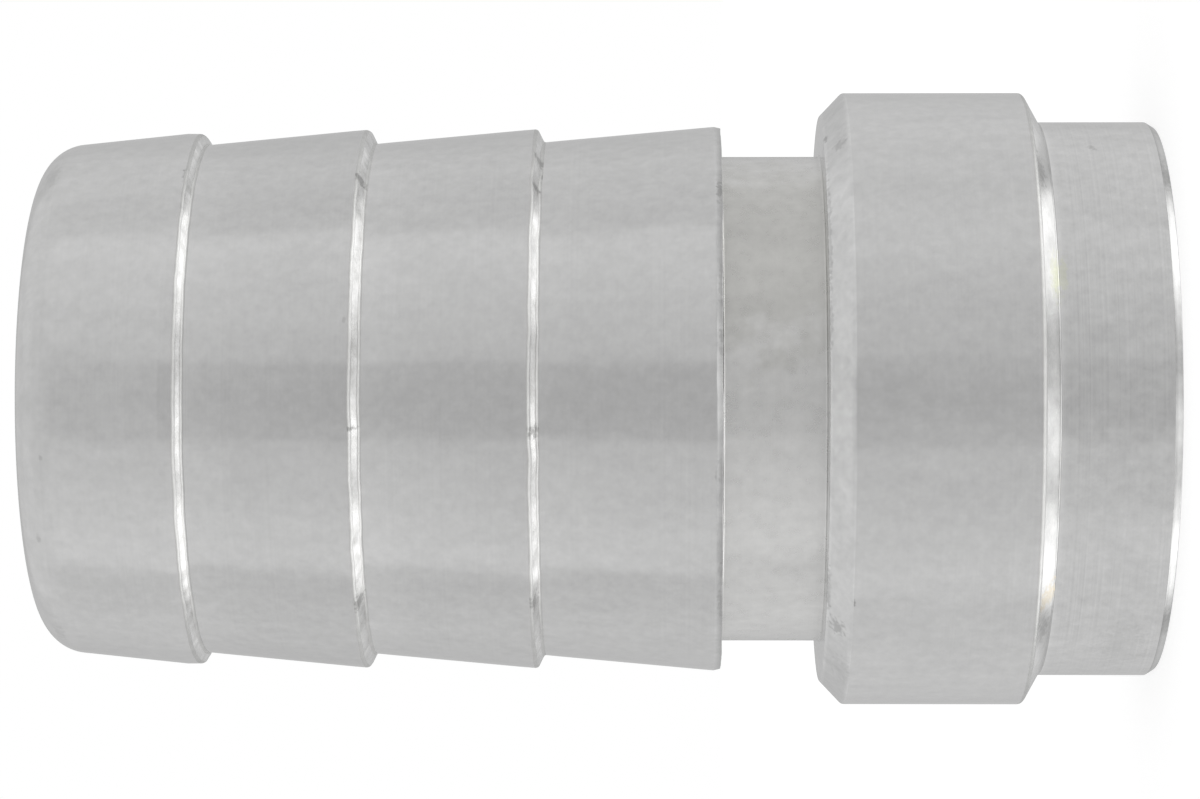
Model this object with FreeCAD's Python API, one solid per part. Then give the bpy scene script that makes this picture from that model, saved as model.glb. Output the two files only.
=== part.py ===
import FreeCAD, Part
import math
import os

# Weld-on hose barb, turned in one piece from round bar. All sizes are in millimetres.
# The part stands on the flat face of its weld end. +Z runs along the axis towards the nose,
# and the origin is the centre of the weld face.

# Bore, straight through
BORE_DIA = 20.6
BORE_EDGE_BREAK = 0.35

# Weld spigot
SPIGOT_DIA = 28.72
SPIGOT_LENGTH = 5.97
SPIGOT_CHAMFER_RUN = 0.4
SPIGOT_CHAMFER_DEPTH = 0.25

# Collar, left at the diameter of the bar, with a crowned shoulder on each side
COLLAR_DIA = 31.75
COLLAR_LENGTH = 11.21
WELD_SHOULDER_RUN = 0.96
WELD_SHOULDER_CROWN = 0.16
HOSE_SHOULDER_RUN = 1.28
HOSE_SHOULDER_DEPTH = 1.24
HOSE_SHOULDER_CROWN = 0.15

# Neck, the groove between the collar and the barbs
NECK_DIA = 25.17
NECK_LENGTH = 5.13

# Barbs, numbered from the neck to the nose. The barb diameter is at the crest, the root
# diameter is at its small end, and the back run is how far the back face leans.
BARB_1_DIA = 28.28
BARB_1_LENGTH = 9.11
BARB_1_LAND = 0.35
ROOT_1_DIA = 26.7
BARB_2_DIA = 28.08
BARB_2_LENGTH = 8.77
BARB_2_BACK_RUN = 0.5
ROOT_2_DIA = 26.56
BARB_3_DIA = 28.05
BARB_3_LENGTH = 8.74
BARB_3_BACK_RUN = 0.48
ROOT_3_DIA = 26.45
BARB_4_DIA = 27.62
BARB_4_LENGTH = 8.36
BARB_4_BACK_RUN = 0.35
BARB_4_LAND = 0.67
EDGE_BREAK = 0.08

# Nose, where barb 4's taper would run out at its own diameter if its corner were not rounded
NOSE_TAPER_DIA = 26.1
NOSE_FACE_DIA = 23.14
NOSE_ROUND = 2.23

# Radius of the bore's broken mouths
BORE_MOUTH_R = BORE_DIA / 2 + BORE_EDGE_BREAK

# Heights along the axis, from the weld face
COLLAR_FACE_Z = SPIGOT_LENGTH + COLLAR_LENGTH
NECK_END_Z = COLLAR_FACE_Z + NECK_LENGTH
ROOT_1_Z = NECK_END_Z + BARB_1_LENGTH
ROOT_2_Z = ROOT_1_Z + BARB_2_LENGTH
ROOT_3_Z = ROOT_2_Z + BARB_3_LENGTH
NOSE_Z = ROOT_3_Z + BARB_4_LENGTH


def point(radius, height):
    """A point of the section, in the plane that holds the axis."""
    return FreeCAD.Vector(radius, 0, height)


def straight_path(*points):
    """Straight runs with sharp corners."""
    return [Part.LineSegment(first, second).toShape() for first, second in zip(points, points[1:])]


def broken_edge(before, corner, after):
    """The two ends of the small flat that takes the sharpness off a corner."""
    start = corner + (before - corner).normalize() * EDGE_BREAK
    end = corner + (after - corner).normalize() * EDGE_BREAK
    return [start, end]


def crowned_run(start, end, crown):
    """A run that bulges away from the axis by the crown at its middle."""
    across = FreeCAD.Vector(start.z - end.z, 0, end.x - start.x).normalize()
    if across.x < 0:
        across = across * -1
    return Part.Arc(start, (start + end) / 2 + across * crown, end).toShape()


def nose_round(crest_end):
    """The large round at the nose, tangent to barb 4's taper and cut short by the end face.

    Returns its two ends and the arc.
    """
    face_edge = point(NOSE_FACE_DIA / 2, NOSE_Z)
    run_out = point(NOSE_TAPER_DIA / 2, NOSE_Z)
    along = (run_out - crest_end).normalize()
    inward = FreeCAD.Vector(-along.z, 0, along.x)
    # The centre lies one radius inside the taper and one radius from the edge of the end face.
    height_in = (face_edge - crest_end).dot(inward)
    reach = math.sqrt(NOSE_ROUND**2 - (NOSE_ROUND - height_in)**2)
    start = crest_end + along * ((face_edge - crest_end).dot(along) - reach)
    centre = start + inward * NOSE_ROUND
    outward = ((start - centre) + (face_edge - centre)).normalize()
    return start, face_edge, Part.Arc(start, centre + outward * NOSE_ROUND, face_edge).toShape()


def weld_end_edges():
    """The outline from the weld face to the collar's face: spigot, two crowned shoulders, collar."""
    spigot_r = SPIGOT_DIA / 2
    collar_r = COLLAR_DIA / 2
    shoulder_foot = point(spigot_r, SPIGOT_LENGTH)
    shoulder_top = point(collar_r, SPIGOT_LENGTH + WELD_SHOULDER_RUN)
    collar_end = point(collar_r, COLLAR_FACE_Z - HOSE_SHOULDER_RUN)
    face_edge = point(collar_r - HOSE_SHOULDER_DEPTH, COLLAR_FACE_Z)
    edges = straight_path(
        point(BORE_MOUTH_R, 0),
        point(spigot_r - SPIGOT_CHAMFER_DEPTH, 0),
        point(spigot_r, SPIGOT_CHAMFER_RUN),
        shoulder_foot,
    )
    edges.append(crowned_run(shoulder_foot, shoulder_top, WELD_SHOULDER_CROWN))
    edges += straight_path(shoulder_top, collar_end)
    edges.append(crowned_run(collar_end, face_edge, HOSE_SHOULDER_CROWN))
    edges += straight_path(face_edge, point(NECK_DIA / 2, COLLAR_FACE_Z))
    return edges


def hose_end_edges():
    """The outline from the foot of the neck to the nose face: neck, four barbs, rounded nose."""
    neck_end = point(NECK_DIA / 2, NECK_END_Z)
    crest_1 = point(BARB_1_DIA / 2, NECK_END_Z)
    land_1_end = point(BARB_1_DIA / 2, NECK_END_Z + BARB_1_LAND)
    root_1 = point(ROOT_1_DIA / 2, ROOT_1_Z)
    crest_2 = point(BARB_2_DIA / 2, ROOT_1_Z + BARB_2_BACK_RUN)
    root_2 = point(ROOT_2_DIA / 2, ROOT_2_Z)
    crest_3 = point(BARB_3_DIA / 2, ROOT_2_Z + BARB_3_BACK_RUN)
    root_3 = point(ROOT_3_DIA / 2, ROOT_3_Z)
    crest_4 = point(BARB_4_DIA / 2, ROOT_3_Z + BARB_4_BACK_RUN)
    land_4_end = point(BARB_4_DIA / 2, ROOT_3_Z + BARB_4_BACK_RUN + BARB_4_LAND)
    round_start, nose_edge, nose_arc = nose_round(land_4_end)
    edges = straight_path(
        point(NECK_DIA / 2, COLLAR_FACE_Z),
        neck_end,
        *broken_edge(neck_end, crest_1, land_1_end),
        land_1_end,
        root_1,
        *broken_edge(root_1, crest_2, root_2),
        root_2,
        *broken_edge(root_2, crest_3, root_3),
        root_3,
        *broken_edge(root_3, crest_4, land_4_end),
        land_4_end,
        round_start,
    )
    edges.append(nose_arc)
    edges += straight_path(nose_edge, point(BORE_MOUTH_R, NOSE_Z))
    return edges


def bore_edges():
    """The through bore, from the nose face back to the weld face, with both mouths broken."""
    return straight_path(
        point(BORE_MOUTH_R, NOSE_Z),
        point(BORE_DIA / 2, NOSE_Z - BORE_EDGE_BREAK),
        point(BORE_DIA / 2, BORE_EDGE_BREAK),
        point(BORE_MOUTH_R, 0),
    )


def hose_barb():
    """The whole fitting: its section turned about the axis."""
    section = Part.Face(Part.Wire(weld_end_edges() + hose_end_edges() + bore_edges()))
    return section.revolve(FreeCAD.Vector(0, 0, 0), FreeCAD.Vector(0, 0, 1), 360)


os.makedirs("parts", exist_ok=True)
hose_barb().exportStep("parts/hose_barb.step")
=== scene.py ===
import math

import bpy
from mathutils import Matrix, Vector, noise


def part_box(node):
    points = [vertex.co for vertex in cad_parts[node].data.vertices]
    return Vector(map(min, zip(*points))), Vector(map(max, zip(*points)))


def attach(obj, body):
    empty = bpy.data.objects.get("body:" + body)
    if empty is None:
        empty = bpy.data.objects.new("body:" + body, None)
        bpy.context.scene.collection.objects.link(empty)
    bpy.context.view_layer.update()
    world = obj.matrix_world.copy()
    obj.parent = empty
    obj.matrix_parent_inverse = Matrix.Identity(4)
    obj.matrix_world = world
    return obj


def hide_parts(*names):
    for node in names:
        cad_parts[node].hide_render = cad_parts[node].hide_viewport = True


bl_info = {
    "name": "Weld-on hose barb",
    "version": (1, 0, 0),
    "blender": (4, 5, 0),
    "location": "3D View > Sidebar > Hose barb",
    "description": "Turns a weld-on hose barb with its tool marks and wear, and sets up its studio",
    "category": "Object",
}

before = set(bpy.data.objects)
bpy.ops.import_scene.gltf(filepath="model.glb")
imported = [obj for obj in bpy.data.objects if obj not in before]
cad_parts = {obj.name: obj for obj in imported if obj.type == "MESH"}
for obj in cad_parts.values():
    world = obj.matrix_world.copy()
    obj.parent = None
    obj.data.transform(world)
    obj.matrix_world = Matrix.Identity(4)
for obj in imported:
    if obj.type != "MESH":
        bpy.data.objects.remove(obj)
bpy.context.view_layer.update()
NODE = "hose_barb"
NODE_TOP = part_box(NODE)[1]
MM = 0.001


def length(name, description, millimetres):
    """A length that the user can change, given here in millimetres."""
    return bpy.props.FloatProperty(
        name=name, description=description, default=millimetres * MM, min=0.0, precision=5, unit="LENGTH"
    )


def share(name, description, default, top=1.0):
    """A plain number that the user can change."""
    return bpy.props.FloatProperty(name=name, description=description, default=default, min=0.0, max=top)


def colour(name, description, default):
    """A colour that the user can change."""
    return bpy.props.FloatVectorProperty(
        name=name, description=description, default=default, min=0.0, max=1.0, size=3, subtype="COLOR"
    )


class FittingSizes(bpy.types.PropertyGroup):
    """The sizes of the turned section: those of the part's source, with worn rounds and shoulders."""

    total_length: length("Length", "From the weld face to the nose", NODE_TOP.z / MM)
    collar_dia: length("Collar diameter", "Across the collar", 2 * NODE_TOP.x / MM)
    bore_dia: length("Bore diameter", "Across the through bore", 20.6)
    mouth_break: length("Bore mouth break", "Run of the flat that breaks each mouth of the bore", 0.35)
    spigot_dia: length("Spigot diameter", "Across the plain end that is welded", 28.72)
    spigot_length: length("Spigot length", "From the weld face to the collar", 5.97)
    chamfer_run: length("Chamfer run", "Along the axis, at the end of the spigot", 0.4)
    chamfer_depth: length("Chamfer depth", "Towards the axis, at the end of the spigot", 0.25)
    collar_length: length("Collar length", "From the spigot to the neck", 11.21)
    weld_shoulder_run: length("Weld shoulder run", "Straight cone on the spigot's side, along the axis", 0.85)
    weld_shoulder_round: length("Weld shoulder round", "Where that cone meets the collar", 0.25)
    hose_shoulder_run: length("Hose shoulder run", "Straight cone on the neck's side, along the axis", 1.14)
    hose_shoulder_depth: length("Hose shoulder depth", "Towards the axis, on the neck's side", 1.2)
    hose_shoulder_round: length("Hose shoulder round", "Where that cone meets the collar", 0.3)
    neck_dia: length("Neck diameter", "Across the groove between collar and barbs", 25.17)
    neck_length: length("Neck length", "From the collar to the first barb", 5.13)
    neck_fillet: length("Neck fillet", "Round at both feet of the neck", 0.1)
    barb_1_dia: length("Barb 1 diameter", "Across its crest", 28.28)
    barb_1_length: length("Barb 1 length", "Along the axis", 9.11)
    barb_1_land: length("Barb 1 land", "Straight part behind its crest", 0.35)
    root_1_dia: length("Root 1 diameter", "At the small end of barb 1", 26.7)
    barb_2_dia: length("Barb 2 diameter", "Across its crest", 28.08)
    barb_2_length: length("Barb 2 length", "Along the axis", 8.77)
    barb_2_back: length("Barb 2 back run", "How far its back leans", 0.5)
    root_2_dia: length("Root 2 diameter", "At the small end of barb 2", 26.56)
    barb_3_dia: length("Barb 3 diameter", "Across its crest", 28.05)
    barb_3_length: length("Barb 3 length", "Along the axis", 8.74)
    barb_3_back: length("Barb 3 back run", "How far its back leans", 0.48)
    root_3_dia: length("Root 3 diameter", "At the small end of barb 3", 26.45)
    barb_4_dia: length("Barb 4 diameter", "Across its crest", 27.62)
    barb_4_back: length("Barb 4 back run", "How far its back leans", 0.35)
    barb_4_land: length("Barb 4 land", "Straight part behind its crest", 0.67)
    nose_taper_dia: length("Nose taper diameter", "Where barb 4's taper would run out at the nose", 26.1)
    nose_face_dia: length("Nose face diameter", "Outside diameter of the flat nose face", 23.14)
    nose_round: length("Nose round", "Radius of the nose's corner", 2.23)
    crest_round: length("Crest round", "Worn round at the crests of barbs 2, 3 and 4", 0.2)
    end_crest_round: length("End crest round", "Worn round at the crest of barb 1", 0.04)
    end_crest_wear: length("End crest wear", "How far barb 1's land is worn down at its edge", 0.07)
    root_fillet: length("Root fillet", "Round at the foot of a barb's back", 0.16)
    back_shift: length("Back shift", "How far wear has moved the backs towards the weld end", 0.06)
    back_slope: bpy.props.FloatProperty(
        name="Back slope", description="Slope of a barb's back against the axis",
        default=math.radians(63.5), subtype="ANGLE",
    )
    small_round: length("Small round", "Where the collar and the end faces meet their shoulders", 0.05)


class MeshDetail(bpy.types.PropertyGroup):
    """How finely the fitting is meshed, and how far its crests are worn."""

    segments: bpy.props.IntProperty(
        name="Segments", description="Divisions round the axis", default=264, min=24
    )
    ring_gap: length("Ring gap", "Widest gap between rings outside", 0.62)
    bore_ring_gap: length("Bore ring gap", "Widest gap between rings in the bore", 3.0)
    support_gap: length("Support gap", "Distance from a round to the ring that holds its edge", 0.05)
    crest_wear: length("Crest wear", "How far the crests are worn down at most", 0.04)
    crest_wander: length("Crest wander", "How far the crests wander along the axis", 0.07)


class SteelFinish(bpy.types.PropertyGroup):
    """Colours and gloss of the steel."""

    steel: colour("Steel", "Bare turned steel", (0.6, 0.599, 0.597))
    neck_steel: colour("Neck steel", "Steel of the neck where it is clean", (0.655, 0.653, 0.645))
    stained_steel: colour("Stained steel", "Yellowish steel on one side of the neck", (0.55, 0.547, 0.53))
    # Bright enough that the backs' reflected lines come out white: partly rubbed steel, partly a painted
    # highlight.
    burnished_and_highlight_steel: colour("Burnished_and_highlight steel", "Backs of the barbs, rubbed bright", (0.88, 0.88, 0.862))
    worn_steel: colour("Worn steel", "Rounded crests and feet, and the collar's edge", (0.67, 0.67, 0.66))
    cone_steel: colour("Cone steel", "Shoulder of the hose end", (0.675, 0.675, 0.673))
    shoulder_steel: colour("Shoulder steel", "Shoulder and chamfer of the weld end", (0.7, 0.7, 0.695))
    bore_steel: colour("Bore steel", "Steel inside the bore", (0.52, 0.52, 0.515))
    # Colour of the dark marks: real nicks and specks, and painted shade on the shoulders, the chamfer and the
    # edges at the neck's ends.
    grime_and_shade: colour("Grime_and_shade", "Dark marks and smudges", (0.2, 0.2, 0.195))
    yellow: colour("Yellow", "Faint heat tint at the foot of the weld shoulder", (0.62, 0.64, 0.42))
    straw: colour("Straw", "Stronger heat tint on the weld shoulder", (0.66, 0.56, 0.38))
    turned_roughness: share("Turned roughness", "Roughness of the tapers, collar and spigot", 0.16)
    neck_roughness: share("Neck roughness", "Roughness of the neck", 0.28)
    edge_roughness: share("Edge roughness", "Roughness of the backs, shoulders and chamfers", 0.22)
    worn_roughness: share("Worn roughness", "Roughness of the rounded crests and feet", 0.45)
    bore_roughness: share("Bore roughness", "Roughness of the bore", 0.32)


class StudioLook(bpy.types.PropertyGroup):
    """The floor, the light and the camera."""

    camera_distance: length("Camera distance", "From the camera to the point it looks at", 208.7)
    aim_height: length("Aim height", "Height of the point it looks at, on the axis", 28.56)
    camera_yaw: bpy.props.FloatProperty(
        name="Camera yaw", description="How far the camera looks up from square to the axis",
        default=math.radians(0.92), subtype="ANGLE",
    )
    camera_drop: length("Camera drop", "How far the camera stands to the side of the axis", 0.042)
    floor_radius: length("Floor radius", "Radius of the round floor", 1500.0)
    floor_grey: share("Floor grey", "How pale the floor is", 0.45)
    floor_glow: share("Floor glow", "Light that the floor gives off by itself", 0.7, 3.0)
    light: share("Light", "Strength of the light tent", 1.0, 10.0)


# Colours with their alpha

def solid(tint):
    """A colour with its alpha."""
    return tuple(tint) + (1.0,)


def grey(level):
    """A grey with its alpha."""
    return solid([level] * 3)


def shade(tint, factor):
    """A colour made darker or lighter, with its alpha."""
    return solid(min(1.0, part * factor) for part in tint)


# Small helpers for shader trees

# Sockets of a Mix node when it mixes colours: the share, the two colours and the result
MIX_SHARE, MIX_FIRST, MIX_SECOND, MIX_RESULT = 0, 6, 7, 2
# What soft noise round 0.5 is spread by, so that it runs from about -1 to 1
NOISE_SPREAD = 4.0


def give(tree, socket, value):
    """Joins a node's output to the socket, or sets the socket's own value."""
    if isinstance(value, bpy.types.NodeSocket):
        tree.links.new(value, socket)
    else:
        socket.default_value = value


def calc(tree, operation, *values):
    """A Math node, as its output."""
    node = tree.nodes.new("ShaderNodeMath")
    node.operation = operation
    for socket, value in zip(node.inputs, values):
        give(tree, socket, value)
    return node.outputs[0]


def ease(tree, value, low, high, at_low=0.0, at_high=1.0):
    """Runs softly from one value to another while the input goes from low to high."""
    node = tree.nodes.new("ShaderNodeMapRange")
    node.interpolation_type = "SMOOTHSTEP"
    names = ("Value", "From Min", "From Max", "To Min", "To Max")
    for name, number in zip(names, (value, low, high, at_low, at_high)):
        give(tree, node.inputs[name], number)
    return node.outputs["Result"]


def hypotenuse(tree, first, second):
    """The root of the sum of two squares."""
    squares = [calc(tree, "MULTIPLY", side, side) for side in (first, second)]
    return calc(tree, "SQRT", calc(tree, "ADD", *squares))


def front_angle(tree, x, y):
    """The angle round the axis, counted from the front, in radians."""
    return calc(tree, "ARCTAN2", x, calc(tree, "MULTIPLY", y, -1.0))


def blend_colour(tree, amount, first, second, how="MIX"):
    """Goes from the first colour to the blend with the second as the amount goes from 0 to 1."""
    node = tree.nodes.new("ShaderNodeMix")
    node.data_type = "RGBA"
    node.blend_type = how
    for socket, value in ((MIX_SHARE, amount), (MIX_FIRST, first), (MIX_SECOND, second)):
        give(tree, node.inputs[socket], value)
    return node.outputs[MIX_RESULT]


def scale_colour(tree, factor, tint):
    """A colour times a factor."""
    return blend_colour(tree, 1.0, tint, factor, "MULTIPLY")


def grey_steps(tree, value, full, steps):
    """A ramp of greys. Each step holds a place, between 0 and full, and its grey."""
    node = tree.nodes.new("ShaderNodeValToRGB")
    stops = node.color_ramp.elements
    while len(stops) < len(steps):
        stops.new(1.0)
    for stop, (place, level) in zip(stops, steps):
        stop.position = place / full
        stop.color = grey(level)
    give(tree, node.inputs["Fac"], calc(tree, "DIVIDE", value, full))
    return node.outputs["Color"]


def cloud(tree, where, scale, detail=2.0, roughness=0.5, stretch=None):
    """Soft noise round 0.5. The scale is in features to the metre."""
    if stretch is not None:
        scaled = tree.nodes.new("ShaderNodeVectorMath")
        scaled.operation = "MULTIPLY"
        tree.links.new(where, scaled.inputs[0])
        scaled.inputs[1].default_value = stretch
        where = scaled.outputs[0]
    node = tree.nodes.new("ShaderNodeTexNoise")
    tree.links.new(where, node.inputs["Vector"])
    give(tree, node.inputs["Scale"], scale)
    node.inputs["Detail"].default_value = detail
    node.inputs["Roughness"].default_value = roughness
    return node.outputs["Fac"]


def spread_out(tree, soft_noise):
    """Soft noise round 0.5, spread to run from about -1 to 1."""
    return calc(tree, "MULTIPLY_ADD", soft_noise, NOISE_SPREAD, -NOISE_SPREAD / 2)


def new_group(name, inputs, outputs):
    """An empty shader node group with named sockets. Gives the tree and its two end nodes."""
    tree = bpy.data.node_groups.new(name, "ShaderNodeTree")
    for socket_name, default in inputs:
        socket = tree.interface.new_socket(socket_name, in_out="INPUT", socket_type="NodeSocketFloat")
        socket.default_value = default
    for socket_name in outputs:
        tree.interface.new_socket(socket_name, in_out="OUTPUT", socket_type="NodeSocketFloat")
    return tree, tree.nodes.new("NodeGroupInput").outputs, tree.nodes.new("NodeGroupOutput").inputs


def place_group(tree, group, **values):
    """Puts a node group in a tree with its own values. Underscores stand for spaces."""
    node = tree.nodes.new("ShaderNodeGroup")
    node.node_tree = group
    for name, value in values.items():
        give(tree, node.inputs[name.replace("_", " ").capitalize()], value)
    return node.outputs


def part_place(tree, space="Object"):
    """A position in metres, or in the world's light a direction: the vector and its x, y and z."""
    where = tree.nodes.new("ShaderNodeTexCoord").outputs[space]
    split = tree.nodes.new("ShaderNodeSeparateXYZ")
    tree.links.new(where, split.inputs[0])
    return where, *split.outputs


# Tool marks: the share of the radius that counts along with the height, so that flat faces have them too,
# the size of the patches where they fade, in features to the metre, and how faint they get
RING_RADIUS_SHARE = 0.8
RING_PATCHES = 160.0
RING_PATCH_EDGES = (0.35, 0.65)
FAINTEST_RINGS = 0.35
# Smears: features to the metre, and how they are drawn out along the axis
SMEAR_SCALE = 900.0
SMEAR_STRETCH = (1.0, 1.0, 0.25)
# Edge of a placed mark: features to the metre, how ragged it is, and where it runs out in half widths
MARK_SCALE = 4500.0
MARK_RAGGEDNESS = 3.2
MARK_EDGES = (0.3, 1.25)


def lathe_marks_group():
    """Fine rings that the tool leaves, as a height in metres and as a mask of lighter and darker rings."""
    tree, given, made = new_group("Lathe marks", [("Marks per mm", 6.0), ("Depth", 0.0)], ["Height", "Rings"])
    where, x, y, z = part_place(tree)
    along = calc(tree, "MULTIPLY_ADD", hypotenuse(tree, x, y), RING_RADIUS_SHARE, z)
    marks_per_metre = calc(tree, "MULTIPLY", given["Marks per mm"], 1 / MM)
    node = tree.nodes.new("ShaderNodeTexNoise")
    node.noise_dimensions = "1D"
    give(tree, node.inputs["W"], calc(tree, "MULTIPLY", along, marks_per_metre))
    node.inputs["Detail"].default_value = 3.0
    node.inputs["Roughness"].default_value = 0.7
    patches = cloud(tree, where, RING_PATCHES, detail=1.0)
    fading = ease(tree, patches, *RING_PATCH_EDGES, at_low=FAINTEST_RINGS)
    rings = calc(tree, "MULTIPLY", calc(tree, "SUBTRACT", node.outputs["Fac"], 0.5), fading)
    give(tree, made["Rings"], rings)
    give(tree, made["Height"], calc(tree, "MULTIPLY", rings, given["Depth"]))
    return tree


def mottling_group():
    """Soft clouds of handling and polishing marks, from about -1 to 1."""
    tree, given, made = new_group("Mottling", [("Size", 0.004)], ["Clouds", "Smears"])
    where = part_place(tree)[0]
    clouds = cloud(tree, where, calc(tree, "DIVIDE", 1.0, given["Size"]), detail=4.0, roughness=0.62)
    give(tree, made["Clouds"], spread_out(tree, clouds))
    give(tree, made["Smears"], spread_out(tree, cloud(tree, where, SMEAR_SCALE, stretch=SMEAR_STRETCH)))
    return tree


def placed_mark_group():
    """A ragged spot at a height and an angle, as a mask. The angle is counted from the front, in radians."""
    sockets = [("Height", 0.0), ("Angle", 0.0), ("Half height", 0.2 * MM), ("Half width", 0.2 * MM),
               ("Strength", 0.5)]
    tree, given, made = new_group("Placed mark", sockets, ["Mask"])
    where, x, y, z = part_place(tree)
    up = calc(tree, "DIVIDE", calc(tree, "SUBTRACT", z, given["Height"]), given["Half height"])
    turn = calc(tree, "SUBTRACT", front_angle(tree, x, y), given["Angle"])
    side = calc(tree, "DIVIDE", calc(tree, "MULTIPLY", turn, hypotenuse(tree, x, y)), given["Half width"])
    ragged = calc(tree, "SUBTRACT", cloud(tree, where, MARK_SCALE, detail=3.0), 0.5)
    reach = calc(tree, "MULTIPLY_ADD", ragged, MARK_RAGGEDNESS, hypotenuse(tree, up, side))
    spot = ease(tree, reach, *MARK_EDGES, at_low=1.0, at_high=0.0)
    give(tree, made["Mask"], calc(tree, "MULTIPLY", spot, given["Strength"]))
    return tree


# Marks on the part: height in mm, angle in degrees from the front, half height, half width, strength

TURNED_MARKS = (
    (49.25, 54.7, 0.18, 0.6, 0.4),
    (40.86, 15.9, 0.1, 0.14, 0.2),
    (15.95, -39.2, 0.14, 0.25, 0.5),
    (56.22, 60.1, 0.4, 1.3, 0.16),
    (56.05, -64.9, 0.35, 1.0, 0.14),
    (55.83, -12.7, 0.10, 0.22, 0.2),
    (56.21, -32.3, 0.12, 0.35, 0.2),
    (22.6, -15.0, 0.12, 0.5, 0.25),
)
SPIGOT_MARKS = (
    (3.67, 61.6, 0.2, 0.3, 0.35),
    (2.2, -61.0, 1.3, 2.6, 0.1),
)
BACK_MARKS = (
    (40.5, -6.0, 0.35, 0.11, 0.6),
    (31.6, -6.8, 0.35, 0.32, 0.6),
    (31.5, 62.0, 0.3, 0.5, 0.6),
    (31.25, 56.0, 0.2, 0.35, 0.55),
    (31.62, 50.4, 0.2, 0.3, 0.6),
    (40.46, 53.0, 0.3, 0.35, 0.6),
    (40.47, -47.2, 0.3, 0.5, 0.55),
    (31.75, -47.0, 0.3, 0.5, 0.5),
)
# Painted shade: dark patches in pairs to both sides of the front, which dim the reflections on the hose end's
# shoulder, the weld shoulder and the chamfer.
SHOULDER_MARKS = (
    (16.44, 55.3, 0.3, 0.55, 0.3),
    (16.66, -47.8, 0.4, 0.6, 0.38),
    (16.3, -62.0, 0.5, 1.6, 0.12),
    (6.64, 47.5, 0.35, 1.2, 0.5),
    (6.41, -49.0, 0.32, 1.0, 0.45),
    (0.2, 52.0, 0.3, 1.3, 0.3),
    (0.2, -52.0, 0.3, 1.1, 0.25),
)
# Painted shade: dark broken lines along the edges at both ends of the neck, on barb 1's land and on the cone
# by the collar's face.
EDGE_MARKS = (
    (22.44, 47.0, 0.17, 0.95, 0.4),
    (22.42, 23.5, 0.13, 1.4, 0.2),
    (22.42, 12.6, 0.14, 0.3, 0.35),
    (22.42, 9.4, 0.12, 0.25, 0.25),
    (22.42, -15.0, 0.14, 1.0, 0.2),
    (22.42, -37.0, 0.13, 0.45, 0.25),
    (22.42, -46.5, 0.15, 1.0, 0.25),
    (17.12, 62.5, 0.16, 0.4, 0.5),
    (17.1, 33.0, 0.11, 4.2, 0.3),
    (17.1, 14.5, 0.1, 1.2, 0.25),
    (17.1, -40.5, 0.11, 1.4, 0.35),
)
YELLOW_MARKS = (
    (6.1, 24.2, 0.35, 1.3, 0.35),
    (5.75, 24.5, 0.25, 1.1, 0.3),
)
STRAW_MARKS = (
    (6.35, -40.4, 0.6, 0.75, 0.6),
    (5.75, -18.0, 0.16, 2.6, 0.2),
)


def marks_mask(tree, group, marks):
    """All the marks of one list, joined into one mask."""
    total = None
    for height, angle, half_height, half_width, strength in marks:
        spot = place_group(
            tree, group, height=height * MM, angle=math.radians(angle),
            half_height=half_height * MM, half_width=half_width * MM, strength=strength,
        )["Mask"]
        total = spot if total is None else calc(tree, "MAXIMUM", total, spot)
    return total


# Painted highlight and painted shade: these ramps brighten and darken the steel in place of its reflections,
# with dark lines at the rounds and edges and bright bands between.
# Brightness across the narrow cuts, each step as a place in mm and a share of the steel's own brightness.
# Places count towards the nose: on the backs and the weld shoulder from the cut's middle, on the chamfer
# from the weld face, on the hose end's cone from the collar's face and on the worn land from barb 1's crest.

BACK_PROFILE = ((-0.3, 0.85), (-0.21, 0.7), (-0.12, 0.82), (-0.05, 0.97), (0.0, 1.0), (0.09, 1.0),
                (0.15, 0.88), (0.23, 0.75), (0.33, 0.85))
SHOULDER_PROFILE = ((-0.44, 0.36), (-0.36, 0.86), (-0.22, 1.04), (0.0, 1.0), (0.12, 1.02), (0.24, 1.14),
                    (0.34, 1.0), (0.42, 0.46), (0.5, 0.46), (0.6, 0.8))
CHAMFER_TONES = ((0.0, 0.68), (0.08, 0.73), (0.2, 0.77), (0.33, 0.72), (0.45, 0.52), (0.8, 0.6))
CONE_TONES = ((-0.2, 1.0), (-0.08, 1.0), (-0.03, 0.55), (-0.004, 0.55), (0.0, 1.2), (0.1, 1.2))
LAND_TONES = ((0.0, 0.66), (0.17, 0.66), (0.34, 0.94))

# A painted highlight: these tones brighten the steel where its shine falls.
# Brightness along the axis. Each taper is brighter towards its small end, where its shine grows over the
# shine's run, and the spigot is brightest at its foot. A pair is for the two ends of a barb or the collar.

BARB_TONES = ((0.995, 1.03), (0.995, 1.08), (0.99, 1.065), (1.045, 1.08))
COLLAR_TONES = (1.01, 1.025)
SPIGOT_TONE = 1.025
FOOT_TONE = 1.17
FOOT_RUN = 0.35 * MM
CREST_RUN = 0.4 * MM
SHINE_RUN = 2.6 * MM


def barb_heights(sizes):
    """Heights of the neck's end and of each barb's small end, from the neck to the nose."""
    heights = [sizes.spigot_length + sizes.collar_length + sizes.neck_length]
    for barb_length in (sizes.barb_1_length, sizes.barb_2_length, sizes.barb_3_length):
        heights.append(heights[-1] + barb_length)
    return heights + [sizes.total_length]


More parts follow.
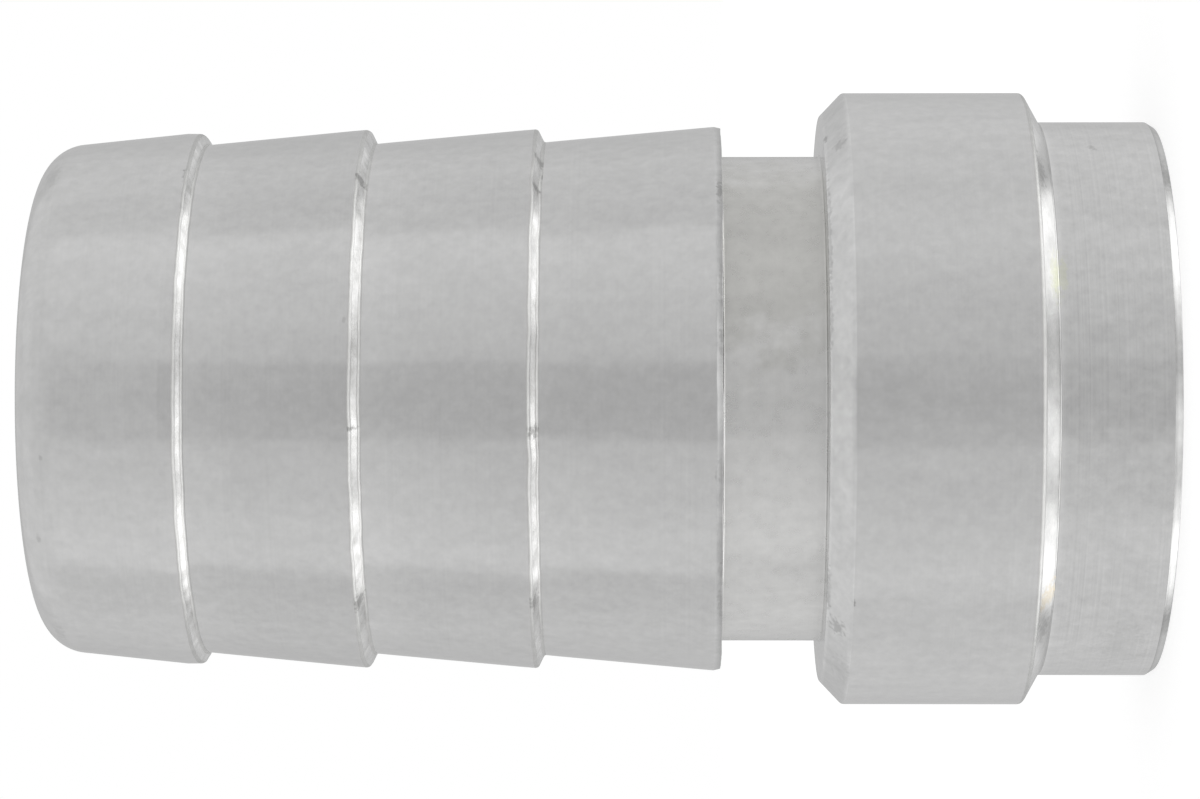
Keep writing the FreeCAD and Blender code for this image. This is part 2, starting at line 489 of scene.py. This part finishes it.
def tone_steps(sizes):
    """Height and brightness along the axis, for a ramp."""
    collar_low = sizes.spigot_length + sizes.weld_shoulder_run
    collar_high = sizes.spigot_length + sizes.collar_length - sizes.hose_shoulder_run
    plain, shiny = COLLAR_TONES
    steps = [
        (0.0, SPIGOT_TONE), (sizes.spigot_length - FOOT_RUN, SPIGOT_TONE), (sizes.spigot_length, FOOT_TONE),
        (collar_low, plain), (collar_high - SHINE_RUN, plain), (collar_high, shiny),
    ]
    heights = barb_heights(sizes)
    for low, high, (at_crest, at_root) in zip(heights, heights[1:], BARB_TONES):
        # Up to the shine's run a taper has gone a quarter of the way.
        quarter = (3 * at_crest + at_root) / 4
        steps += [(low + CREST_RUN, at_crest), (high - SHINE_RUN, quarter), (high, at_root)]
    return steps


def back_middles(sizes):
    """Heights of the middles of the three leaning backs, where wear has put them."""
    backs = (sizes.barb_2_back, sizes.barb_3_back, sizes.barb_4_back)
    return [root + back / 2 - sizes.back_shift for root, back in zip(barb_heights(sizes)[1:], backs)]


def back_steps(sizes):
    """Height and brightness across the three backs, for a ramp."""
    return [(middle + offset * MM, tone) for middle in back_middles(sizes) for offset, tone in BACK_PROFILE]


def shoulder_steps(sizes):
    """Height and brightness across the chamfer and the shoulder of the weld end, for a ramp."""
    middle = sizes.spigot_length + sizes.weld_shoulder_run / 2
    steps = [(height * MM, tone) for height, tone in CHAMFER_TONES]
    return steps + [(middle + offset * MM, tone) for offset, tone in SHOULDER_PROFILE]


def cone_steps(sizes):
    """Height and brightness from the cone and the collar's face to barb 1's worn land, for a ramp."""
    face = sizes.spigot_length + sizes.collar_length
    steps = [(face + offset * MM, tone) for offset, tone in CONE_TONES]
    return steps + [(face + sizes.neck_length + offset * MM, tone) for offset, tone in LAND_TONES]


# Smears as a share of the clouds' strength, and how far the clouds vary the roughness
SMEAR_SHARE = 0.45
ROUGHNESS_CHANGE = 0.015
# A quarter of a turn, so that the stretch of the reflections runs along the axis
ALONG_AXIS = 0.25


def steel_material(name, groups, base, roughness, *, anisotropy, contrast, mottling, rings):
    """Bare steel. The tool marks stretch reflections along the axis.

    Contrast is the share by which the tone varies, mottling is the size in mm and the strength of the
    clouds, and rings are the marks in a millimetre, their depth in mm and their strength.
    Gives the material, its tree, its shader and the colour that is still to be joined to it.
    """
    cloud_size, cloud_strength = mottling
    marks_per_mm, mark_depth, ring_strength = rings
    material = bpy.data.materials.new(name)
    material.use_nodes = True
    tree = material.node_tree
    tree.nodes.clear()
    lathe = place_group(tree, groups["rings"], marks_per_mm=marks_per_mm, depth=mark_depth * MM)
    mottle = place_group(tree, groups["mottling"], size=cloud_size * MM)
    tone = calc(tree, "MULTIPLY_ADD", mottle["Clouds"], cloud_strength, 0.5)
    tone = calc(tree, "MULTIPLY_ADD", mottle["Smears"], cloud_strength * SMEAR_SHARE, tone)
    tone = calc(tree, "MULTIPLY_ADD", lathe["Rings"], ring_strength, tone)
    steel = blend_colour(tree, tone, shade(base, 1.0 - contrast), shade(base, 1.0 + contrast))
    bump = tree.nodes.new("ShaderNodeBump")
    give(tree, bump.inputs["Height"], lathe["Height"])
    bump.inputs["Distance"].default_value = 1.0
    tangent = tree.nodes.new("ShaderNodeTangent")
    tangent.direction_type = "RADIAL"
    tangent.axis = "Z"
    shader = tree.nodes.new("ShaderNodeBsdfPrincipled")
    shader.inputs["Metallic"].default_value = 1.0
    varied = calc(tree, "MULTIPLY_ADD", mottle["Clouds"], ROUGHNESS_CHANGE, roughness)
    give(tree, shader.inputs["Roughness"], varied)
    shader.inputs["Anisotropic"].default_value = anisotropy
    shader.inputs["Anisotropic Rotation"].default_value = ALONG_AXIS
    give(tree, shader.inputs["Tangent"], tangent.outputs[0])
    give(tree, shader.inputs["Normal"], bump.outputs[0])
    output = tree.nodes.new("ShaderNodeOutputMaterial")
    tree.links.new(shader.outputs[0], output.inputs["Surface"])
    return material, tree, shader, steel


def finish_steel(parts, groups, sizes, tones, stains_and_shade):
    """Joins the colour to the shader, with its brightness along the axis and its marks.

    Tones are the brightness steps, a painted highlight and shade. Each further list holds marks and their
    colour: real ones and painted shade.
    """
    material, tree, shader, steel = parts
    height = part_place(tree)[3]
    steel = scale_colour(tree, grey_steps(tree, height, sizes.total_length, tones), steel)
    for marks, tint in stains_and_shade:
        steel = blend_colour(tree, marks_mask(tree, groups["mark"], marks), steel, solid(tint))
    give(tree, shader.inputs["Base Color"], steel)
    return material


def turned_steel(name, groups, finish, sizes, *stains_and_shade, mottling, rings):
    """The tapers, the collar and the spigot."""
    parts = steel_material(
        name, groups, finish.steel, finish.turned_roughness,
        anisotropy=0.85, contrast=0.15, mottling=mottling, rings=rings,
    )
    return finish_steel(parts, groups, sizes, tone_steps(sizes), stains_and_shade)


def cut_steel(name, groups, base, roughness, sizes, tones, *stains_and_shade, contrast, mottling):
    """The backs, shoulders and chamfers, and the worn rounds."""
    parts = steel_material(
        name, groups, base, roughness,
        anisotropy=0.3, contrast=contrast, mottling=mottling, rings=(9.0, 0.0005, 0.1),
    )
    return finish_steel(parts, groups, sizes, tones, stains_and_shade)


# The neck's stain: features to the metre in its ragged edge, how far they push it in radians, and the angles
# from the front between which it sets in and fades out
STAIN_SCALE = 700.0
STAIN_RAGGEDNESS = 0.7
STAIN_START = (0.05, 0.35)
STAIN_END = (1.35, 0.95)


def neck_steel(groups, finish):
    """The neck, with a yellowish, patchy stain round one side."""
    material, tree, shader, steel = steel_material(
        "neck_steel", groups, finish.neck_steel, finish.neck_roughness,
        anisotropy=0.5, contrast=0.15, mottling=(0.75, 0.25), rings=(1.4, 0.001, 0.2),
    )
    where, x, y, _ = part_place(tree)
    ragged = calc(tree, "SUBTRACT", cloud(tree, where, STAIN_SCALE, detail=3.0), 0.5)
    edge = calc(tree, "MULTIPLY_ADD", ragged, STAIN_RAGGEDNESS, front_angle(tree, x, y))
    stain = calc(tree, "MULTIPLY", ease(tree, edge, *STAIN_START), ease(tree, edge, *STAIN_END))
    change = solid(stained / clean for stained, clean in zip(finish.stained_steel, finish.neck_steel))
    stained_steel = scale_colour(tree, steel, change)
    give(tree, shader.inputs["Base Color"], blend_colour(tree, stain, steel, stained_steel))
    return material


def bore_steel(groups, finish):
    """The bore, with coarser tool marks."""
    material, tree, shader, steel = steel_material(
        "bore_steel", groups, finish.bore_steel, finish.bore_roughness,
        anisotropy=0.7, contrast=0.15, mottling=(3.0, 0.06), rings=(2.5, 0.004, 0.3),
    )
    give(tree, shader.inputs["Base Color"], steel)
    return material


FINISHES = ("turned", "spigot", "neck", "back", "worn", "cone", "shoulder", "bore")


def steel_materials(finish, sizes):
    """One material for each kind of cut, in the order of FINISHES."""
    groups = {"rings": lathe_marks_group(), "mottling": mottling_group(), "mark": placed_mark_group()}
    rough = finish.edge_roughness
    # The dark marks' colour serves real nicks and specks and painted shade alike.
    grime_and_shade, yellow, straw = finish.grime_and_shade, finish.yellow, finish.straw
    return [
        turned_steel(
            "turned_steel", groups, finish, sizes, (TURNED_MARKS, grime_and_shade),
            mottling=(0.6, 0.2), rings=(1.6, 0.003, 0.22),
        ),
        turned_steel(
            "spigot_steel", groups, finish, sizes, (YELLOW_MARKS, yellow), (SPIGOT_MARKS, grime_and_shade),
            mottling=(0.6, 0.28), rings=(1.6, 0.003, 0.8),
        ),
        neck_steel(groups, finish),
        cut_steel(
            "back_steel", groups, finish.burnished_and_highlight_steel, rough, sizes, back_steps(sizes),
            (BACK_MARKS, grime_and_shade), contrast=0.3, mottling=(0.8, 0.45),
        ),
        cut_steel(
            "worn_steel", groups, finish.worn_steel, finish.worn_roughness, sizes, back_steps(sizes),
            (BACK_MARKS, grime_and_shade), contrast=0.15, mottling=(0.6, 0.3),
        ),
        cut_steel(
            "cone_steel", groups, finish.cone_steel, rough, sizes, cone_steps(sizes),
            (SHOULDER_MARKS, grime_and_shade), (EDGE_MARKS, grime_and_shade), contrast=0.15, mottling=(0.6, 0.3),
        ),
        cut_steel(
            "shoulder_steel", groups, finish.shoulder_steel, rough, sizes, shoulder_steps(sizes),
            (YELLOW_MARKS, yellow), (STRAW_MARKS, straw), (SHOULDER_MARKS, grime_and_shade),
            contrast=0.2, mottling=(0.8, 0.3),
        ),
        bore_steel(groups, finish),
    ]


# The section, in the plane of radius and height

# Steps of the nose's round, and the widest step of a smaller round, in degrees, of which it has three or more
NOSE_STEPS = 16
ROUND_STEP = 11
FEWEST_ROUND_STEPS = 3
# The most that a round takes of the run on each side of it
ROUND_SHARE = 0.45
# A run shorter than this many support gaps has no rings of its own
SUPPORT_ROOM = 6


def nose_corner(sizes, crest_end):
    """The nose's round, tangent to barb 4's taper and cut by the nose face: its start, end and centre."""
    face_edge = Vector((sizes.nose_face_dia / 2, sizes.total_length))
    run_out = Vector((sizes.nose_taper_dia / 2, sizes.total_length))
    along = (run_out - crest_end).normalized()
    inward = Vector((-along.y, along.x))
    height_in = (face_edge - crest_end).dot(inward)
    reach = math.sqrt(sizes.nose_round**2 - (sizes.nose_round - height_in) ** 2)
    start = crest_end + along * ((face_edge - crest_end).dot(along) - reach)
    centre = start + inward * sizes.nose_round
    return start, face_edge, centre


def section_corners(sizes):
    """Corners of the section: the point, its round, the finish of the run that follows and of the round."""
    mouth_r = sizes.bore_dia / 2 + sizes.mouth_break
    spigot_r = sizes.spigot_dia / 2
    collar_r = sizes.collar_dia / 2
    neck_r = sizes.neck_dia / 2
    collar_face = sizes.spigot_length + sizes.collar_length
    neck_end, *_, root_3, nose_end = barb_heights(sizes)
    tiny = sizes.small_round
    corners = []

    def corner(radius, height, rounding, run, round_finish="cone"):
        corners.append((Vector((radius, height)), rounding, run, round_finish))

    corner(mouth_r, 0.0, tiny, "spigot")
    corner(spigot_r - sizes.chamfer_depth, 0.0, tiny, "shoulder", "shoulder")
    corner(spigot_r, sizes.chamfer_run, tiny, "spigot", "shoulder")
    corner(spigot_r, sizes.spigot_length, 2 * tiny, "shoulder", "shoulder")
    shoulder_end = sizes.spigot_length + sizes.weld_shoulder_run
    corner(collar_r, shoulder_end, sizes.weld_shoulder_round, "turned", "worn")
    corner(collar_r, collar_face - sizes.hose_shoulder_run, sizes.hose_shoulder_round, "cone")
    corner(collar_r - sizes.hose_shoulder_depth, collar_face, 2 * tiny, "cone")
    corner(neck_r, collar_face, sizes.neck_fillet, "neck", "neck")
    corner(neck_r, neck_end, sizes.neck_fillet, "neck", "neck")
    corner(sizes.barb_1_dia / 2 - sizes.end_crest_wear, neck_end, sizes.end_crest_round, "cone")
    corner(sizes.barb_1_dia / 2, neck_end + sizes.barb_1_land, 0.0, "turned")
    feet = (
        (sizes.root_1_dia, sizes.barb_2_dia),
        (sizes.root_2_dia, sizes.barb_3_dia),
        (sizes.root_3_dia, sizes.barb_4_dia),
    )
    for middle, (root_dia, crest_dia) in zip(back_middles(sizes), feet):
        lean = (crest_dia - root_dia) / 2 / math.tan(sizes.back_slope)
        corner(root_dia / 2, middle - lean / 2, sizes.root_fillet, "back", "worn")
        corner(crest_dia / 2, middle + lean / 2, sizes.crest_round, "turned", "worn")
    land_end = Vector((sizes.barb_4_dia / 2, root_3 + sizes.barb_4_back + sizes.barb_4_land))
    corner(land_end.x, land_end.y, 0.0, "turned")
    start, face_edge, centre = nose_corner(sizes, land_end)
    first = math.atan2(start.y - centre.y, start.x - centre.x)
    last = math.atan2(face_edge.y - centre.y, face_edge.x - centre.x)
    for step in range(NOSE_STEPS + 1):
        turn = first + (last - first) * step / NOSE_STEPS
        across, up = sizes.nose_round * math.cos(turn), sizes.nose_round * math.sin(turn)
        corner(centre.x + across, centre.y + up, 0.0, "turned")
    corner(mouth_r, nose_end, tiny, "cone")
    corner(sizes.bore_dia / 2, nose_end - sizes.mouth_break, tiny, "bore")
    corner(sizes.bore_dia / 2, sizes.mouth_break, tiny, "cone")
    return corners


def rounded(before, at, after, radius):
    """Points of a round that takes the place of a corner."""
    into = (at - before).normalized()
    out = (after - at).normalized()
    turn = into.angle(out)
    room = ROUND_SHARE * min((at - before).length, (after - at).length)
    reach = min(radius * math.tan(turn / 2), room)
    radius = reach / math.tan(turn / 2)
    start, finish = at - into * reach, at + out * reach
    side = Vector((-into.y, into.x))
    if side.dot(out) < 0:
        side = -side
    centre = start + side * radius
    steps = max(FEWEST_ROUND_STEPS, math.ceil(math.degrees(turn) / ROUND_STEP))
    points = []
    for step in range(steps + 1):
        swing = turn * step / steps
        points.append(centre - side * (radius * math.cos(swing)) + into * (radius * math.sin(swing)))
    points[-1] = finish
    return points


def run_places(span, gap, support):
    """Where the rings on a straight run lie, as shares of its length: near both ends and evenly between."""
    if span <= SUPPORT_ROOM * support:
        return []
    first, last = support / span, 1 - support / span
    count = max(1, math.ceil((span - 2 * support) / gap))
    return [first + (last - first) * step / count for step in range(count + 1)]


def section_rings(sizes, detail):
    """Rings of the mesh in order: the point in the section, and the finish of the strip that follows."""
    corners = section_corners(sizes)
    points = [corner[0] for corner in corners]
    arcs = []
    for before, (at, rounding, _, _), after in zip(points[-1:] + points, corners, points[1:] + points[:1]):
        arcs.append(rounded(before, at, after, rounding) if rounding > 0 else [at])
    rings = []
    for (_, _, run, round_finish), arc, next_arc in zip(corners, arcs, arcs[1:] + arcs[:1]):
        rings += [(point, round_finish) for point in arc[:-1]]
        start, stop = arc[-1], next_arc[0]
        rings.append((start, run))
        gap = detail.bore_ring_gap if run == "bore" else detail.ring_gap
        places = run_places((stop - start).length, gap, detail.support_gap)
        rings += [(start.lerp(stop, place), run) for place in places]
    return rings


# Wear of the crests: how far along the axis it is counted, how quickly it fades, and how far from the neck's
# surface it stops
WEAR_REACH = 0.8 * MM
WEAR_WIDTH = 0.35 * MM
NECK_CLEARANCE = 0.2 * MM
# The share of the wear that the two outer crests have
OUTER_WEAR = 0.8
# Its three ripples: waves to the turn, place in the noise at the first crest and step to the next crest's
SLOW_RIPPLE, FAST_RIPPLE, WANDER_RIPPLE = (34, 3.1, 7), (110, 9.4, 5), (46, 5.7, 3)
# What each part adds to the wear and to the crests' wandering along the axis
EVEN_WEAR, SLOW_WEAR, FAST_WEAR = 0.35, 0.4, 0.25
SLOW_WANDER, FAST_WANDER = 0.7, 0.5


def ripple(angle, crest, kind):
    """Smooth noise round the axis, about -1 to 1, for one crest and one kind of ripple."""
    waves, first, step = kind
    reach = waves / math.tau
    return noise.noise(Vector((math.cos(angle) * reach, math.sin(angle) * reach, first + crest * step)))


def worn_crests(sizes):
    """Heights of the four crests, each with the share of the wear that it has."""
    neck_end, root_1, root_2, root_3, _ = barb_heights(sizes)
    return (
        (neck_end, OUTER_WEAR),
        (root_1 + sizes.barb_2_back / 2, 1.0),
        (root_2 + sizes.barb_3_back / 2, 1.0),
        (root_3 + sizes.barb_4_back / 2, OUTER_WEAR),
    )


def crest_at(point, sizes):
    """The crest whose wear reaches a ring: its number and how much of its wear the ring has, or None."""
    if point.x <= sizes.neck_dia / 2 + NECK_CLEARANCE:
        return None
    for crest, (height, part) in enumerate(worn_crests(sizes)):
        if abs(point.y - height) < WEAR_REACH:
            return crest, part * math.exp(-(((point.y - height) / WEAR_WIDTH) ** 2))
    return None


def worn_place(point, angle, crest, weight, detail):
    """Radius and height of a ring's point where the crest is worn."""
    slow, fast, wander = [ripple(angle, crest, kind) for kind in (SLOW_RIPPLE, FAST_RIPPLE, WANDER_RIPPLE)]
    wear = weight * detail.crest_wear * (EVEN_WEAR + SLOW_WEAR * slow + FAST_WEAR * fast)
    shift = weight * detail.crest_wander * (SLOW_WANDER * wander + FAST_WANDER * fast)
    return point.x - wear, point.y + shift


def fitting_mesh(sizes, detail):
    """The whole fitting as one closed mesh, turned about the axis and worn at its crests."""
    rings = section_rings(sizes, detail)
    segments = detail.segments
    vertices = []
    for point, _ in rings:
        worn = crest_at(point, sizes)
        for step in range(segments):
            angle = math.tau * step / segments
            radius, height = worn_place(point, angle, *worn, detail) if worn else point
            vertices.append((radius * math.sin(angle), -radius * math.cos(angle), height))
    faces = []
    finishes = []
    for ring, (_, run) in enumerate(rings):
        below, above = ring * segments, (ring + 1) % len(rings) * segments
        for step in range(segments):
            after = (step + 1) % segments
            faces.append((below + step, below + after, above + after, above + step))
            finishes.append(FINISHES.index(run))
    mesh = bpy.data.meshes.new("hose_barb_turned")
    mesh.from_pydata(vertices, [], faces)
    mesh.polygons.foreach_set("material_index", finishes)
    mesh.polygons.foreach_set("use_smooth", [True] * len(faces))
    mesh.update()
    return mesh


class HOSEBARB_OT_turn_fitting(bpy.types.Operator):
    """Turns the fitting and gives it its steel"""

    bl_idname = "hose_barb.turn_fitting"
    bl_label = "Turn the fitting"

    def execute(self, context):
        """Makes the one piece, in place of the plain solid."""
        scene = context.scene
        mesh = fitting_mesh(scene.fitting_sizes, scene.mesh_detail)
        for material in steel_materials(scene.steel_finish, scene.fitting_sizes):
            mesh.materials.append(material)
        piece = bpy.data.objects.new("hose_barb_turned", mesh)
        scene.collection.objects.link(piece)
        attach(piece, "root")
        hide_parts(NODE)
        return {"FINISHED"}


# The light tent round the part, as one white light that differs by direction. These steps hold an angle
# from the front, in degrees to either side, and a brightness: just above the level, where the tapers
# reflect it, and at the level, where the collar and the spigot do

BARB_SIDE = ((0, 0.62), (8, 0.635), (16, 0.655), (17.2, 0.75), (24, 0.785), (32, 0.797), (40, 0.822),
             (56, 0.87), (72, 0.905), (78.2, 0.895), (79.6, 0.8), (90, 0.782), (104, 0.805), (120, 0.822),
             (128, 0.79), (136, 0.75), (146, 0.69), (156, 0.62), (170, 0.55))
WELD_SIDE = ((0, 0.635), (8, 0.655), (16, 0.675), (17.2, 0.735), (24, 0.755), (32, 0.77), (40, 0.8),
             (56, 0.87), (70, 0.895), (80, 0.86), (96, 0.875), (120, 0.875), (128, 0.855), (136, 0.815),
             (146, 0.76), (156, 0.66), (170, 0.57))
# Higher up, where the rounded nose reflects it, and above that
NOSE_SIDE = ((0, 0.72), (20, 0.745), (40, 0.81), (72, 0.85), (90, 0.795), (120, 0.8), (146, 0.69), (170, 0.6))
ROOF_SIDE = ((0, 0.74), (45, 0.77), (80, 0.83), (135, 0.82), (160, 0.75), (180, 0.74))
# Lower down, where only the rounds and the leaning cuts reflect it: a dim gap and a half-lit step
GAP_SIDE = ((0, 0.8), (14, 0.8), (26, 0.6), (110, 0.62), (126, 0.82), (180, 0.82))
STEP_SIDE = ((0, 1.1), (78, 1.12), (92, 1.5), (106, 1.45), (118, 0.95), (180, 0.8))
# The dark band that the camera makes lies this far below the front in the picture, in degrees
BAND_DROP = 1.2
# How evenly the tent is lit. These steps hold an angle round the axis that is 180 at the front, from the
# picture's lower side to its upper side, and a share
BARB_ROUND = ((0, 0.975), (98, 0.975), (103, 1.0), (140, 1.0), (160, 1.01), (180, 1.0))
WELD_ROUND = ((0, 0.97), (98, 0.97), (103, 1.0), (140, 0.99), (160, 1.035), (176, 1.0), (192, 0.985),
              (214, 0.945), (260, 0.96), (300, 0.985))
# The soft box below, in the same steps: its full light, and its share at the height that the barbs' backs
# reflect and at the weld shoulder's
BOX_LIGHT = 3.0
BARB_BOX = ((0, 0.2), (54, 0.22), (60, 0.36), (66, 0.62), (72, 0.82), (84, 0.85), (90, 0.92), (97, 0.8),
            (104, 0.85), (124, 0.85), (133, 0.56), (141, 0.64), (152, 0.92), (160, 0.88), (171, 1.0),
            (177, 0.82), (190, 0.56), (200, 0.52), (212, 0.56), (219, 0.6), (226, 0.78), (230, 0.84),
            (244, 0.8), (256, 0.74), (262, 0.64), (268, 0.82), (284, 0.82), (290, 0.76), (296, 0.5),
            (302, 0.33), (308, 0.22))
SHOULDER_BOX = ((0, 0.2), (64, 0.33), (76, 0.82), (90, 0.84), (96, 0.62), (102, 0.52), (107, 0.46),
                (115, 0.37), (125, 0.31), (135, 0.43), (146, 0.5), (157, 0.5), (168, 0.53), (177, 0.4),
                (191, 0.33), (203, 0.31), (214, 0.28), (225, 0.28), (235, 0.31), (245, 0.5), (253, 0.62),
                (258, 0.64), (266, 0.84), (284, 0.85), (296, 0.5), (308, 0.3), (360, 0.2))
# Degrees above the level between which each of these lights passes into the next one up or down
BARB_RISE, NOSE_RISE, ROOF_RISE = (-1.0, 7.0), (17.5, 21.0), (33.0, 40.0)
GAP_RISE, STEP_RISE = (-18.5, -21.5), (-24.5, -28.5)
BOX_RISE, SHOULDER_BOX_RISE = (-31.5, -35.5), (-46.0, -49.5)
HALF_TURN, FULL_TURN = 180.0, 360.0


def tent_light(scene, strength):
    """White light from all round, as in a light tent with an opening for the camera."""
    world = bpy.data.worlds.new("light_tent")
    world.use_nodes = True
    tree = world.node_tree
    tree.nodes.clear()
    _, x, y, z = part_place(tree, "Generated")
    round_axis = calc(tree, "DEGREES", front_angle(tree, x, y))
    off_front = calc(tree, "ABSOLUTE", calc(tree, "ADD", round_axis, BAND_DROP))
    turn = calc(tree, "ADD", round_axis, HALF_TURN)
    rise = calc(tree, "DEGREES", calc(tree, "ARCSINE", z))
    weld_side, barb_side, nose_side, roof_side, gap_side, step_side = [
        grey_steps(tree, off_front, HALF_TURN, steps)
        for steps in (WELD_SIDE, BARB_SIDE, NOSE_SIDE, ROOF_SIDE, GAP_SIDE, STEP_SIDE)
    ]
    weld_round, barb_round, barb_box, shoulder_box = [
        grey_steps(tree, turn, FULL_TURN, steps) for steps in (WELD_ROUND, BARB_ROUND, BARB_BOX, SHOULDER_BOX)
    ]
    box = blend_colour(tree, ease(tree, rise, *SHOULDER_BOX_RISE), barb_box, shoulder_box)
    walls = scale_colour(tree, weld_round, weld_side)
    for light, rises in (
        (scale_colour(tree, barb_round, barb_side), BARB_RISE),
        (nose_side, NOSE_RISE),
        (roof_side, ROOF_RISE),
        (gap_side, GAP_RISE),
        (step_side, STEP_RISE),
        (scale_colour(tree, grey(BOX_LIGHT), box), BOX_RISE),
    ):
        walls = blend_colour(tree, ease(tree, rise, *rises), walls, light)
    seen = tree.nodes.new("ShaderNodeLightPath").outputs["Is Camera Ray"]
    background = tree.nodes.new("ShaderNodeBackground")
    give(tree, background.inputs["Color"], blend_colour(tree, seen, walls, grey(1.0)))
    background.inputs["Strength"].default_value = strength
    output = tree.nodes.new("ShaderNodeOutputWorld")
    tree.links.new(background.outputs[0], output.inputs["Surface"])
    scene.world = world


FLOOR_CORNERS = 96


def pale_floor(scene, look):
    """A round, plain, pale floor under the part."""
    vertices = [(0.0, 0.0, 0.0)]
    for step in range(FLOOR_CORNERS):
        angle = math.tau * step / FLOOR_CORNERS
        vertices.append((look.floor_radius * math.cos(angle), look.floor_radius * math.sin(angle), 0.0))
    faces = [(0, 1 + step, 1 + (step + 1) % FLOOR_CORNERS) for step in range(FLOOR_CORNERS)]
    mesh = bpy.data.meshes.new("floor")
    mesh.from_pydata(vertices, [], faces)
    material = bpy.data.materials.new("pale_floor")
    material.use_nodes = True
    shader = material.node_tree.nodes["Principled BSDF"]
    shader.inputs["Base Color"].default_value = grey(look.floor_grey)
    shader.inputs["Roughness"].default_value = 1.0
    shader.inputs["Specular IOR Level"].default_value = 0.0
    shader.inputs["Emission Color"].default_value = grey(1.0)
    shader.inputs["Emission Strength"].default_value = look.floor_glow
    mesh.materials.append(material)
    floor = bpy.data.objects.new("floor", mesh)
    scene.collection.objects.link(floor)
    # The steel reflects the light tent all round, so the floor stays out of its reflections.
    floor.visible_glossy = False


# The photograph's width and the camera's focal length, in pixels, and the width of the camera's sensor in mm
PHOTO_WIDTH = 1200
FOCAL_PIXELS = 4000
SENSOR_WIDTH = 36.0
# How near and how far the camera sees, in metres
CAMERA_REACH = (0.01, 10.0)


def photo_camera(scene, look):
    """The camera at the photograph's place. Its picture lies on its side, with the nose at the left."""
    camera = bpy.data.cameras.new("camera")
    camera.sensor_width = SENSOR_WIDTH
    camera.lens = FOCAL_PIXELS / PHOTO_WIDTH * SENSOR_WIDTH
    camera.clip_start, camera.clip_end = CAMERA_REACH
    holder = bpy.data.objects.new("camera", camera)
    scene.collection.objects.link(holder)
    sine, cosine = math.sin(look.camera_yaw), math.cos(look.camera_yaw)
    right = Vector((0.0, sine, -cosine))
    up = Vector((1.0, 0.0, 0.0))
    back = Vector((0.0, -cosine, -sine))
    place = Vector((-look.camera_drop, 0.0, look.aim_height)) + back * look.camera_distance
    turn = Matrix((right, up, back)).transposed().to_4x4()
    holder.matrix_world = Matrix.Translation(place) @ turn
    scene.camera = holder


class HOSEBARB_OT_set_stage(bpy.types.Operator):
    """Lays the floor and sets up the light and the camera"""

    bl_idname = "hose_barb.set_stage"
    bl_label = "Set the stage"

    def execute(self, context):
        """Makes the floor, the light tent and the camera."""
        scene = context.scene
        look = scene.studio_look
        pale_floor(scene, look)
        tent_light(scene, look.light)
        photo_camera(scene, look)
        scene.view_settings.view_transform = "Standard"
        scene.view_settings.look = "None"
        return {"FINISHED"}


class HOSEBARB_PT_sidebar(bpy.types.Panel):
    """The fitting's sizes, finish and stage in the sidebar"""

    bl_idname = "HOSEBARB_PT_sidebar"
    bl_label = "Hose barb"
    bl_space_type = "VIEW_3D"
    bl_region_type = "UI"
    bl_category = "Hose barb"

    def draw(self, context):
        """Lists the steps and everything that can be changed."""
        layout = self.layout
        for step in (HOSEBARB_OT_turn_fitting, HOSEBARB_OT_set_stage):
            layout.operator(step.bl_idname, text=step.bl_label)
        for name, _, title in SETTINGS:
            settings = getattr(context.scene, name)
            box = layout.box()
            box.label(text=title)
            for field in settings.__annotations__:
                box.prop(settings, field)


SETTINGS = (
    ("fitting_sizes", FittingSizes, "Sizes"),
    ("mesh_detail", MeshDetail, "Mesh"),
    ("steel_finish", SteelFinish, "Steel"),
    ("studio_look", StudioLook, "Stage"),
)
CLASSES = (
    FittingSizes,
    MeshDetail,
    SteelFinish,
    StudioLook,
    HOSEBARB_OT_turn_fitting,
    HOSEBARB_OT_set_stage,
    HOSEBARB_PT_sidebar,
)


def register():
    """Makes the classes and the settings known."""
    for each in CLASSES:
        bpy.utils.register_class(each)
    for name, group, _ in SETTINGS:
        setattr(bpy.types.Scene, name, bpy.props.PointerProperty(type=group))


def unregister():
    """Takes the classes and the settings away again."""
    for name, *_ in SETTINGS:
        delattr(bpy.types.Scene, name)
    for each in reversed(CLASSES):
        bpy.utils.unregister_class(each)


def main():
    """Builds everything in order."""
    register()
    bpy.ops.hose_barb.set_stage()
    bpy.ops.hose_barb.turn_fitting()
    bpy.context.view_layer.update()


if __name__ == "__main__":
    main()
